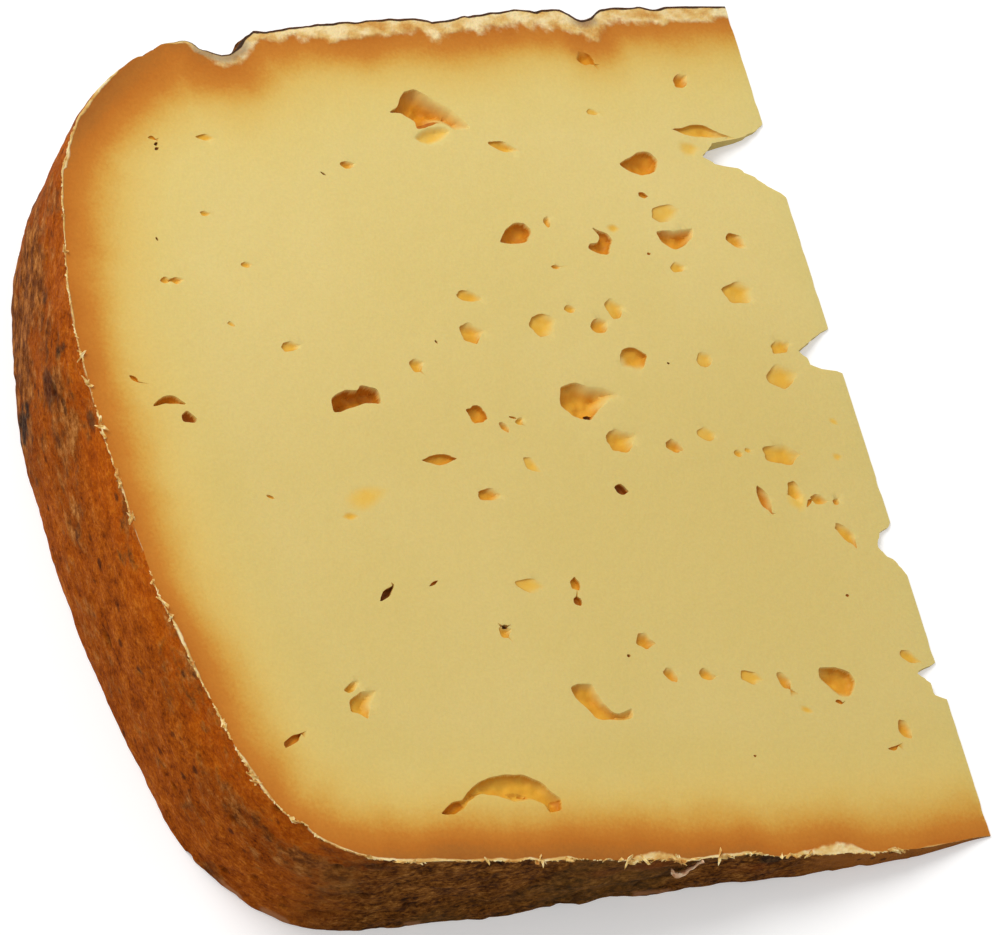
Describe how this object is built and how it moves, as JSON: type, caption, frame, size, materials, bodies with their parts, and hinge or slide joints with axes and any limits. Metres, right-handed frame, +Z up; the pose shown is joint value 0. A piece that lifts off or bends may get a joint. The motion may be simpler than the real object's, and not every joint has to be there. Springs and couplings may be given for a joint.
{
  "type": "toma cheese wedge",
  "caption": "Thin wedge of semi-hard toma cheese lying on a cut face, with small torn openings in its paste and a rough rind outside.",
  "frame": {"origin": "middle of the wedge's footprint, on the surface that the lower cut face rests on", "axes": "+Y along the wheel's axis, from its foot face to its top face; -X from the thin tip edge to the heel; +Z up"},
  "size_m": [0.0942, 0.106, 0.0224],
  "materials": {
    "cheese": "matte, slightly moist pale yellow paste, orange-brown towards a rough grey-brown rind"
  },
  "bodies": {
    "root": {"cheese_wedge": "cheese"}
  },
  "joints": []
}
